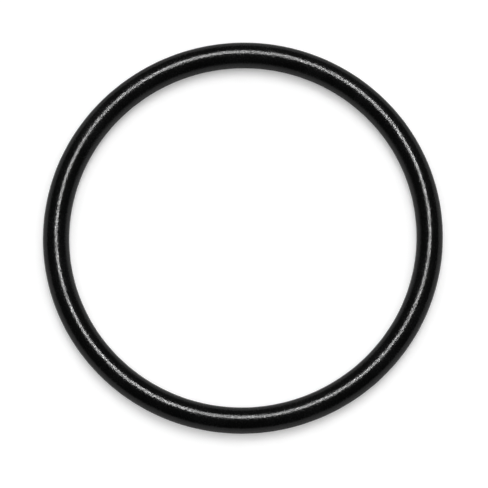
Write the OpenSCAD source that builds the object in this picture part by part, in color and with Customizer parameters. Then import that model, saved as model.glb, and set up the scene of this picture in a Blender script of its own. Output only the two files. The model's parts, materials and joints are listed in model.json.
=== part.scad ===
// O-ring: a sealing ring with a round section, moulded in one piece of black rubber.
// It lies flat. +Z is the ring's axis, and the origin is its centre, on the plane where the mould parts.

/* [Ring] */
// Inside diameter of the ring, over the round section
inner_d = 40; // [10:0.5:150]
// Diameter of the round section
section_d = 3; // [1.5:0.1:7]

/* [Parting line] */
// Height of the land left where the mould's flash was trimmed, along the axis
flash_land = 0.16; // [0.08:0.02:0.3]
// How far the land stands out of the round section
flash_rise = 0.03; // [0.01:0.01:0.05]
// Slope of the land's flanks, in degrees from the ring's axis
flash_slope = 45; // [45:5:70]

/* [Hidden] */

ring_facets = 240;
section_facets = 72;
rubber_black = [0.05, 0.05, 0.05];

section_r = section_d / 2;
// from the ring's axis to the middle of its section
centre_r = inner_d / 2 + section_r;
land_y = flash_land / 2;
crest_x = section_r + flash_rise;
// the flanks run on to here, well inside the round section, so that they leave it at a clean angle
root_x = section_r / 2;
root_y = land_y + (crest_x - root_x) / tan(flash_slope);

// The trimmed flash inside and outside the section, as one band across it
module flash_line() {
    polygon([
        [crest_x, land_y],
        [root_x, root_y],
        [-root_x, root_y],
        [-crest_x, land_y],
        [-crest_x, -land_y],
        [-root_x, -root_y],
        [root_x, -root_y],
        [crest_x, -land_y]
    ]);
}

module section() {
    circle(r = section_r, $fn = section_facets);
    flash_line();
}

module o_ring() {
    color(rubber_black)
        rotate_extrude($fn = ring_facets)
            translate([centre_r, 0])
                section();
}

o_ring();
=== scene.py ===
import json
import math

import bpy
import numpy as np
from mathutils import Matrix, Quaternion, Vector


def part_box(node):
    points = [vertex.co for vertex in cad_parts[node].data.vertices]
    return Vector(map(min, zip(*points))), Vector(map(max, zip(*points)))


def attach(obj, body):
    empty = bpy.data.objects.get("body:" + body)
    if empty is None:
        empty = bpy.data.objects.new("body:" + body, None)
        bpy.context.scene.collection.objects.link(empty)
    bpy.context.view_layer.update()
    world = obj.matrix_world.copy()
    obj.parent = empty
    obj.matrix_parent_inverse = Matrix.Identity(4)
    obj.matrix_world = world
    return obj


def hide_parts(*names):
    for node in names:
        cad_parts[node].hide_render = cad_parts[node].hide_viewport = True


mm = 0.001

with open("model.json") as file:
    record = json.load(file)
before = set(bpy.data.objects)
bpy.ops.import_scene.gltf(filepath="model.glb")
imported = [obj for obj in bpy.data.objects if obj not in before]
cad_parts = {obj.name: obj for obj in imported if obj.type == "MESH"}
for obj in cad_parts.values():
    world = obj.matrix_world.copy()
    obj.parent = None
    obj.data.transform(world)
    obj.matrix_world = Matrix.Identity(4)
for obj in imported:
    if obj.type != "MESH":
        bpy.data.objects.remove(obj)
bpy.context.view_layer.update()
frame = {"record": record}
print("frame loaded")


# sizes of the ring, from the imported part

mountSizes = {mount["name"]: mount["dims"] for mount in frame["record"]["mounts"]}
insideR = mountSizes["inside_diameter"]["r_mm"] * mm       # to the flash land inside
outsideR = mountSizes["outside_diameter"]["r_mm"] * mm     # to the flash land outside
flashLand = mountSizes["inside_diameter"]["length_mm"] * mm
ringLow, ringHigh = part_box("o_ring")
sectionR = (ringHigh.z - ringLow.z) / 2
centreR = (insideR + outsideR) / 2
flashRise = (outsideR - insideR) / 2 - sectionR
floorZ = ringLow.z


# small helpers

def addNode(tree, kind, inputs=None, **settings):
    # a new node; settings are its own options and inputs the values of its sockets
    made = tree.nodes.new(kind)
    for name, value in settings.items():
        setattr(made, name, value)
    for name, value in (inputs or {}).items():
        made.inputs[name].default_value = value
    return made


def join(tree, fromNode, fromName, toNode, toName):
    tree.links.new(fromNode.outputs[fromName], toNode.inputs[toName])


def mixColours(tree, factor, factorName, first, second):
    # first and second are colours or other mixes; a mix node has its colours on 6 and 7 and the result on 2
    mixed = addNode(tree, "ShaderNodeMix", data_type="RGBA")
    join(tree, factor, factorName, mixed, 0)
    for socket, colour in ((6, first), (7, second)):
        if isinstance(colour, tuple):
            mixed.inputs[socket].default_value = colour
        else:
            join(tree, colour, 2, mixed, socket)
    return mixed


def directionFrom(azimuth, elevation):
    # unit vector from the ring to a place at these angles; azimuth 0 is the camera's side, 90 is its right
    a, e = math.radians(azimuth), math.radians(elevation)
    return Vector((math.sin(a) * math.cos(e), -math.cos(a) * math.cos(e), math.sin(e)))


def closedSurface(name, points, pointValues):
    # one smooth mesh from a grid of points that closes on itself both ways: each face joins a point, the next
    # one along its row, and the same two of the next row; pointValues are kept as values on the points
    rows, columns = points.shape[:2]
    row = np.arange(rows)[:, None]
    column = np.arange(columns)[None, :]
    nextRow, nextColumn = (row + 1) % rows, (column + 1) % columns
    corners = np.stack([
        row * columns + column,
        nextRow * columns + column,
        nextRow * columns + nextColumn,
        row * columns + nextColumn,
    ], axis=-1).reshape(-1, 4)
    mesh = bpy.data.meshes.new(name)
    mesh.vertices.add(rows * columns)
    mesh.vertices.foreach_set("co", points.reshape(-1))
    mesh.loops.add(corners.size)
    mesh.loops.foreach_set("vertex_index", corners.reshape(-1).astype(np.int32))
    mesh.polygons.add(len(corners))
    mesh.polygons.foreach_set("loop_start", np.arange(0, corners.size, 4, dtype=np.int32))
    mesh.polygons.foreach_set("use_smooth", np.ones(len(corners), dtype=bool))
    for valueName, values in pointValues.items():
        attribute = mesh.attributes.new(valueName, "FLOAT", "POINT")
        attribute.data.foreach_set("value", values.reshape(-1).astype(np.float32))
    mesh.update(calc_edges=True)
    mesh.validate()
    made = bpy.data.objects.new(name, mesh)
    bpy.context.scene.collection.objects.link(made)
    return made


# the ring

ringSet = {
    "stepsAround": 640,
    "stepsSection": 150,
    "crowding": 0.7,         # how much closer the section's steps lie at the parting line, 0 to 1
    "flashLeast": 0.45,      # share of the flash line's height left where it was trimmed closest
    "flashWaves": 40,
    "hollowDepth": 5e-6,     # slow hollows in the moulded skin, metres
    "hollowWaves": 28,
    "turnsAround": (3, 90),  # fewest turns of a wave round the ring, and one more than the most
    "turnsSection": (-5, 6),  # the same round the section, the sign for the way it winds
    "turnsFade": 12,         # turns round the ring from which a wave grows weaker
    "outOfRound": 0.28e-3,   # a soft ring never lies quite round: longest less shortest diameter, metres
    "longWay": 45,           # the way its longest diameter points, degrees from X
    "seed": 7,
}


def wavesOver(around, section, count, seed, settings):
    # a sum of sine waves with whole numbers of turns both ways, so that it closes on itself, the shorter
    # waves weaker, brought to the range 0 to 1
    random = np.random.default_rng(seed)
    total = np.zeros(np.broadcast(around, section).shape)
    for wave in range(count):
        turnsAround = random.integers(*settings["turnsAround"])
        turnsSection = random.integers(*settings["turnsSection"])
        phase = random.uniform(0, 2 * math.pi)
        weight = 1 / math.sqrt(1 + turnsAround / settings["turnsFade"])
        total += weight * np.sin(turnsAround * around + turnsSection * section + phase)
    return (total - total.min()) / (total.max() - total.min())


def makeRing(settings):
    # a torus: the point at the angles around and section lies centreR + oval + reach * cos(section) from the
    # axis, reach * sin(section) high; reach is the section's radius, more on the flash line, less in hollows
    around = np.linspace(0, 2 * math.pi, settings["stepsAround"], endpoint=False)[:, None]
    even = np.linspace(0, 2 * math.pi, settings["stepsSection"], endpoint=False)[None, :]
    # even steps round the section, pulled towards the parting line by a double wave
    section = even - settings["crowding"] * np.sin(2 * even) / 2
    # the flash line: full over its land, then down a 45 degree flank on each side, the corners eased
    height = np.abs(sectionR * np.sin(section))
    flash = np.clip((flashLand / 2 + flashRise - height) / flashRise, 0, 1)
    flash = flash * flash * (3 - 2 * flash)
    # trimming leaves more or less of it along the ring, and not the same inside and outside
    least = settings["flashLeast"]
    side = np.sign(np.cos(section))
    trimmed = wavesOver(around, side, settings["flashWaves"], settings["seed"] + 1, settings)
    ragged = least + (1 - least) * trimmed
    hollows = wavesOver(around, section, settings["hollowWaves"], settings["seed"], settings)
    reach = sectionR + flashRise * flash * ragged - settings["hollowDepth"] * hollows
    # two long and two short radii by a double wave, a quarter of the difference in diameter each way
    oval = settings["outOfRound"] / 4 * np.cos(2 * (around - math.radians(settings["longWay"])))
    radius = centreR + oval + reach * np.cos(section)
    points = np.stack([
        radius * np.cos(around),
        radius * np.sin(around),
        reach * np.sin(section) + 0 * around,
    ], axis=-1)
    return closedSurface("rubber_ring", points, {"flash": flash * ragged})


# materials

noiseSet = {
    # detail and roughness of each noise
    "coarse": (1.0, 0.5),
    "fine": (2.0, 0.6),
    "mottle": (3.0, 0.6),
}


def grainGroup(settings):
    # Height is a coarse noise plus a share of a finer one; Mottle is a slow noise for patches
    group = bpy.data.node_groups.new("fineGrain", "ShaderNodeTree")
    sockets = group.interface
    sockets.new_socket("Vector", in_out="INPUT", socket_type="NodeSocketVector")
    for name in ("Scale", "Fine Scale", "Fine Share", "Mottle Scale"):
        sockets.new_socket(name, in_out="INPUT", socket_type="NodeSocketFloat")
    for name in ("Height", "Mottle"):
        sockets.new_socket(name, in_out="OUTPUT", socket_type="NodeSocketFloat")
    given = addNode(group, "NodeGroupInput")
    result = addNode(group, "NodeGroupOutput")
    noises = {}
    for name, scale in (("coarse", "Scale"), ("fine", "Fine Scale"), ("mottle", "Mottle Scale")):
        detail, roughness = settings[name]
        noises[name] = addNode(group, "ShaderNodeTexNoise", {"Detail": detail, "Roughness": roughness})
        join(group, given, "Vector", noises[name], "Vector")
        join(group, given, scale, noises[name], "Scale")
    total = addNode(group, "ShaderNodeMath", operation="MULTIPLY_ADD")
    join(group, noises["fine"], "Fac", total, 0)
    join(group, given, "Fine Share", total, 1)
    join(group, noises["coarse"], "Fac", total, 2)
    join(group, total, "Value", result, "Height")
    join(group, noises["mottle"], "Fac", result, "Mottle")
    return group


def placeGrain(tree, group, settings):
    # the settings give the widths of a grain, a fine grain and a patch in metres, and the fine grain's share
    placed = addNode(tree, "ShaderNodeGroup", node_tree=group)
    placed.inputs["Scale"].default_value = 1 / settings["grain"]
    placed.inputs["Fine Scale"].default_value = 1 / settings["fineGrain"]
    placed.inputs["Fine Share"].default_value = settings["fineShare"]
    placed.inputs["Mottle Scale"].default_value = 1 / settings["patches"]
    where = addNode(tree, "ShaderNodeTexCoord")
    join(tree, where, "Object", placed, "Vector")
    return placed


rubberSet = {
    "colour": (0.0018, 0.0019, 0.0019, 1),        # the moulded black
    "dustColour": (0.0042, 0.0043, 0.0044, 1),    # patches that a little bloom and dust have greyed
    "flashColour": (0.0060, 0.0060, 0.0062, 1),   # the torn skin on the trimmed flash line
    "dusty": (0.45, 0.75),          # where in the slow noise the grey patches start and are full
    "ior": 1.25,
    "roughness": (0.05, 0.31),      # in the grain's hollows and on its tops
    "uneven": (0.42, 0.82),         # where in the grain's height those two lie
    "patchShare": 0.2,              # how much the slow patches add to that
    "flashRoughness": 0.55,
    "turned": (0.3, 0.65),          # how far it turns from the eye, 1 is edge on, as its gloss fades
    "turnedGloss": (0.5, 0.1),      # the specular level at those two; 0.5 is full
    "grain": 0.15e-3,               # metres across one grain of the moulded skin
    "grainDepth": 12e-6,
    "fineGrain": 0.06e-3,
    "fineShare": 0.08,
    "patches": 4e-3,                # metres across one patch
}


def rubberMaterial(settings, group):
    material = bpy.data.materials.new("black_rubber")
    material.use_nodes = True
    tree = material.node_tree
    shader = tree.nodes["Principled BSDF"]
    shader.inputs["IOR"].default_value = settings["ior"]
    grain = placeGrain(tree, group, settings)
    flash = addNode(tree, "ShaderNodeAttribute", attribute_name="flash")
    # colour: black, greyer in patches, greyer still along the flash line
    start, full = settings["dusty"]
    bloom = addNode(tree, "ShaderNodeMapRange", {"From Min": start, "From Max": full})
    join(tree, grain, "Mottle", bloom, "Value")
    skin = mixColours(tree, bloom, "Result", settings["colour"], settings["dustColour"])
    colour = mixColours(tree, flash, "Fac", skin, settings["flashColour"])
    join(tree, colour, 2, shader, "Base Color")
    # gloss: the grain's hollows shine and its tops are duller, which breaks a highlight up into sparkle
    uneven = addNode(tree, "ShaderNodeMath", operation="MULTIPLY_ADD")
    join(tree, grain, "Mottle", uneven, 0)
    uneven.inputs[1].default_value = settings["patchShare"]
    join(tree, grain, "Height", uneven, 2)
    hollow, top = settings["uneven"]
    shiny, dull = settings["roughness"]
    gloss = addNode(tree, "ShaderNodeMapRange",
                    {"From Min": hollow, "From Max": top, "To Min": shiny, "To Max": dull})
    join(tree, uneven, "Value", gloss, "Value")
    # a mix of two values has them on 2 and 3 and the result on 0
    torn = addNode(tree, "ShaderNodeMix", data_type="FLOAT")
    join(tree, flash, "Fac", torn, 0)
    join(tree, gloss, "Result", torn, 2)
    torn.inputs[3].default_value = settings["flashRoughness"]
    join(tree, torn, 0, shader, "Roughness")
    # a skin with so fine a grain mirrors less at a grazing angle than polished rubber would
    start, end = settings["turned"]
    full, faded = settings["turnedGloss"]
    turned = addNode(tree, "ShaderNodeLayerWeight", {"Blend": 0.5})
    mirror = addNode(tree, "ShaderNodeMapRange",
                     {"From Min": start, "From Max": end, "To Min": full, "To Max": faded})
    join(tree, turned, "Facing", mirror, "Value")
    join(tree, mirror, "Result", shader, "Specular IOR Level")
    bump = addNode(tree, "ShaderNodeBump", {"Strength": 1.0, "Distance": settings["grainDepth"]})
    join(tree, grain, "Height", bump, "Height")
    join(tree, bump, "Normal", shader, "Normal")
    return material


# the table that the ring lies on

floorSet = {
    "size": 6.0,             # metres across
    "colour": (0.76, 0.76, 0.76, 1),
    "hollowColour": (0.73, 0.73, 0.73, 1),    # between the fibres of its paper
    "hollows": (0.5, 0.9),   # where in the grain's height the hollows' colour starts and is full
    "roughness": 0.9,
    "gloss": 0.1,            # specular level
    "grain": 1.2e-3,         # metres across one clump of fibres
    "fineGrain": 0.15e-3,
    "fineShare": 0.4,
    "patches": 6e-3,
    "lift": 0.36,            # light added where the camera or a reflection sees it, so that it shows white
    "contact": 6e-3,         # metres within which the ring over the table takes that light away,
    "covered": (0.1, 0.55),  # and the share of open sky at which it is all gone and all there
    "lampReach": (0.3, 1.2),  # metres from the ring between which lamps fade and the lift grows to white
}


def floorMaterial(settings, group):
    material = bpy.data.materials.new("white_table")
    material.use_nodes = True
    tree = material.node_tree
    shader = tree.nodes["Principled BSDF"]
    grain = placeGrain(tree, group, settings)
    start, full = settings["hollows"]
    tone = addNode(tree, "ShaderNodeMapRange", {"From Min": start, "From Max": full})
    join(tree, grain, "Height", tone, "Value")
    colour = mixColours(tree, tone, "Result", settings["colour"], settings["hollowColour"])
    join(tree, colour, 2, shader, "Base Color")
    shader.inputs["Roughness"].default_value = settings["roughness"]
    shader.inputs["Specular IOR Level"].default_value = settings["gloss"]
    # the lift is for camera, glossy and transmission rays, so that it lights nothing
    rays = addNode(tree, "ShaderNodeLightPath")
    direct = addNode(tree, "ShaderNodeMath", operation="ADD")
    join(tree, rays, "Is Camera Ray", direct, 0)
    join(tree, rays, "Is Glossy Ray", direct, 1)
    seen = addNode(tree, "ShaderNodeMath", operation="ADD", use_clamp=True)
    join(tree, direct, "Value", seen, 0)
    join(tree, rays, "Is Transmission Ray", seen, 1)
    # far out it makes up for the fading lamps
    near, far = settings["lampReach"]
    where = addNode(tree, "ShaderNodeTexCoord")
    away = addNode(tree, "ShaderNodeVectorMath", operation="LENGTH")
    join(tree, where, "Object", away, 0)
    lift = addNode(tree, "ShaderNodeMapRange",
                   {"From Min": near, "From Max": far, "To Min": settings["lift"], "To Max": 1.0})
    join(tree, away, "Value", lift, "Value")
    # close under the ring it goes, so that the shadow there stays dark
    covered, clear = settings["covered"]
    sky = addNode(tree, "ShaderNodeAmbientOcclusion", {"Distance": settings["contact"]})
    kept = addNode(tree, "ShaderNodeMapRange", {"From Min": covered, "From Max": clear})
    join(tree, sky, "AO", kept, "Value")
    here = addNode(tree, "ShaderNodeMath", operation="MULTIPLY")
    join(tree, lift, "Result", here, 0)
    join(tree, kept, "Result", here, 1)
    strength = addNode(tree, "ShaderNodeMath", operation="MULTIPLY")
    join(tree, seen, "Value", strength, 0)
    join(tree, here, "Value", strength, 1)
    glow = addNode(tree, "ShaderNodeEmission", {"Color": (1, 1, 1, 1)})
    join(tree, strength, "Value", glow, "Strength")
    both = addNode(tree, "ShaderNodeAddShader")
    join(tree, shader, "BSDF", both, 0)
    join(tree, glow, "Emission", both, 1)
    join(tree, both, "Shader", tree.nodes["Material Output"], "Surface")
    return material


def makeFloor(settings):
    # a flat square at the height of the ring's lowest point
    half = settings["size"] / 2
    corners = [(-half, -half, floorZ), (half, -half, floorZ), (half, half, floorZ), (-half, half, floorZ)]
    mesh = bpy.data.meshes.new("table_top")
    mesh.from_pydata(corners, [], [(0, 1, 2, 3)])
    made = bpy.data.objects.new("table_top", mesh)
    bpy.context.scene.collection.objects.link(made)
    return made


group = grainGroup(noiseSet)
ring = makeRing(ringSet)
ring.data.materials.append(rubberMaterial(rubberSet, group))
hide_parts("o_ring")
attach(ring, "root")
print("ring made:", len(ring.data.vertices), "points")

tableTop = makeFloor(floorSet)
tableTop.data.materials.append(floorMaterial(floorSet, group))
print("table made")


# lamps and surroundings

lampSet = {
    # place as seen from the ring and roll in degrees, distance in metres, spread across and along in
    # degrees, light as the share of white that it gives the table; shade lights dull surfaces, gloss shows
    # in shiny ones; the four gleams are narrow tubes in an arch, which gives a line of shine of even width
    # all round the ring
    "gleam_top_right": {
        "azimuth": 170, "elevation": 63.5, "roll": 70, "distance": 2.0, "spread": (1.5, 8),
        "light": 0.19, "shade": False, "gloss": True,
    },
    "gleam_top_left": {
        "azimuth": 187, "elevation": 64, "roll": -58, "distance": 2.0, "spread": (1.5, 7),
        "light": 0.14, "shade": False, "gloss": True,
    },
    "gleam_right": {
        "azimuth": 156.5, "elevation": 73, "roll": 12.5, "distance": 2.0, "spread": (1.5, 13),
        "light": 0.58, "shade": False, "gloss": True,
    },
    "gleam_left": {
        "azimuth": 196, "elevation": 74, "roll": -3, "distance": 2.0, "spread": (1.5, 13),
        "light": 0.43, "shade": False, "gloss": True,
    },
    "key": {
        "azimuth": 170, "elevation": 70, "roll": 0, "distance": 2.0, "spread": (20, 20),
        "light": 0.22, "shade": True, "gloss": False,
    },
    "fill": {
        "azimuth": 165, "elevation": 80, "roll": 0, "distance": 1.0, "spread": (90, 90),
        "light": 0.68, "shade": True, "gloss": False,
    },
}


def lampSpreadLoss(spread, steps=101):
    # how much less a wide lamp gives than a small one of that power: one over the mean of cos^4 on its face,
    # taken over a grid of steps both ways
    across, along = np.tan(np.radians(np.array(spread)) / 2)
    x = np.linspace(-across, across, steps)[:, None]
    y = np.linspace(-along, along, steps)[None, :]
    return float(1 / np.mean((1 + x * x + y * y) ** -2))


def makeLamp(name, settings):
    data = bpy.data.lights.new(name, "AREA")
    data.shape = "RECTANGLE"
    distance = settings["distance"]
    across, along = (math.radians(angle) for angle in settings["spread"])
    data.size = 2 * distance * math.tan(across / 2)
    data.size_y = 2 * distance * math.tan(along / 2)
    # power for its share of white on the table: share * pi^2 * distance^2 / sin(elevation), for a small lamp
    elevation = math.radians(settings["elevation"])
    smallLamp = settings["light"] * math.pi ** 2 * distance ** 2 / math.sin(elevation)
    data.energy = smallLamp * lampSpreadLoss(settings["spread"])
    made = bpy.data.objects.new(name, data)
    towards = directionFrom(settings["azimuth"], settings["elevation"])
    made.location = towards * distance
    made.rotation_mode = "QUATERNION"
    roll = Quaternion((0, 0, 1), math.radians(settings["roll"]))
    made.rotation_quaternion = (-towards).to_track_quat("-Z", "Y") @ roll
    made.visible_diffuse = settings["shade"]
    made.visible_glossy = settings["gloss"]
    bpy.context.scene.collection.objects.link(made)


worldSet = {
    "ahead": 0.12,           # how bright the dim room is beyond the ring, as the camera sees it
    "behind": 0.03,          # and on the camera's own side
    "sweep": (0.05, 0.1),    # the white table goes on as a low sweep, full up to the first of these sines of
                             # its elevation and gone at the second
}


def makeWorld(settings):
    world = bpy.data.worlds.new("dim_room")
    bpy.context.scene.world = world
    world.use_nodes = True
    tree = world.node_tree
    background = tree.nodes["Background"]
    background.inputs["Color"].default_value = (1, 1, 1, 1)
    where = addNode(tree, "ShaderNodeTexCoord")
    parts = addNode(tree, "ShaderNodeSeparateXYZ")
    join(tree, where, "Generated", parts, "Vector")
    room = addNode(tree, "ShaderNodeMapRange", {
        "From Min": -1.0, "From Max": 1.0, "To Min": settings["behind"], "To Max": settings["ahead"],
    })
    join(tree, parts, "Y", room, "Value")
    full, gone = settings["sweep"]
    sweep = addNode(tree, "ShaderNodeMapRange",
                    {"From Min": full, "From Max": gone, "To Min": 1.0, "To Max": 0.0})
    join(tree, parts, "Z", sweep, "Value")
    level = addNode(tree, "ShaderNodeMath", operation="MAXIMUM")
    join(tree, room, "Result", level, 0)
    join(tree, sweep, "Result", level, 1)
    join(tree, level, "Value", background, "Strength")


for lampName, lampSettings in lampSet.items():
    makeLamp(lampName, lampSettings)
makeWorld(worldSet)
print("lamps and surroundings made")


# the camera

cameraSet = {
    "frameWidth": 488,             # pixels, the frame is square
    "centrePx": (242.9, 236.6),    # where the ring's centre falls
    "centreLinePx": 186.8,         # half the width of the ring's centre line
    "elevation": 77.8,
    "distance": 0.60,
    "sensor": 36.0,                # millimetres
    "sight": (0.01, 20),           # nearest and farthest that it sees, metres
}


def makeCamera(settings):
    data = bpy.data.cameras.new("camera")
    data.sensor_width = settings["sensor"]
    pixel = centreR / settings["centreLinePx"]      # metres on the ring for one pixel
    data.lens = settings["sensor"] * settings["distance"] / (settings["frameWidth"] * pixel)
    data.clip_start, data.clip_end = settings["sight"]
    made = bpy.data.objects.new("camera", data)
    back = directionFrom(0, settings["elevation"])
    turn = (-back).to_track_quat("-Z", "Y")
    # the camera slides sideways and up until the ring's centre falls where it should
    right, up = turn @ Vector((1, 0, 0)), turn @ Vector((0, 1, 0))
    centreX, centreY = settings["centrePx"]
    middle = settings["frameWidth"] / 2
    aim = right * (middle - centreX) * pixel - up * (middle - centreY) * pixel
    made.location = aim + back * settings["distance"]
    made.rotation_mode = "QUATERNION"
    made.rotation_quaternion = turn
    bpy.context.scene.collection.objects.link(made)
    bpy.context.scene.camera = made


makeCamera(cameraSet)
bpy.context.scene.view_settings.view_transform = "Standard"
print("camera placed")
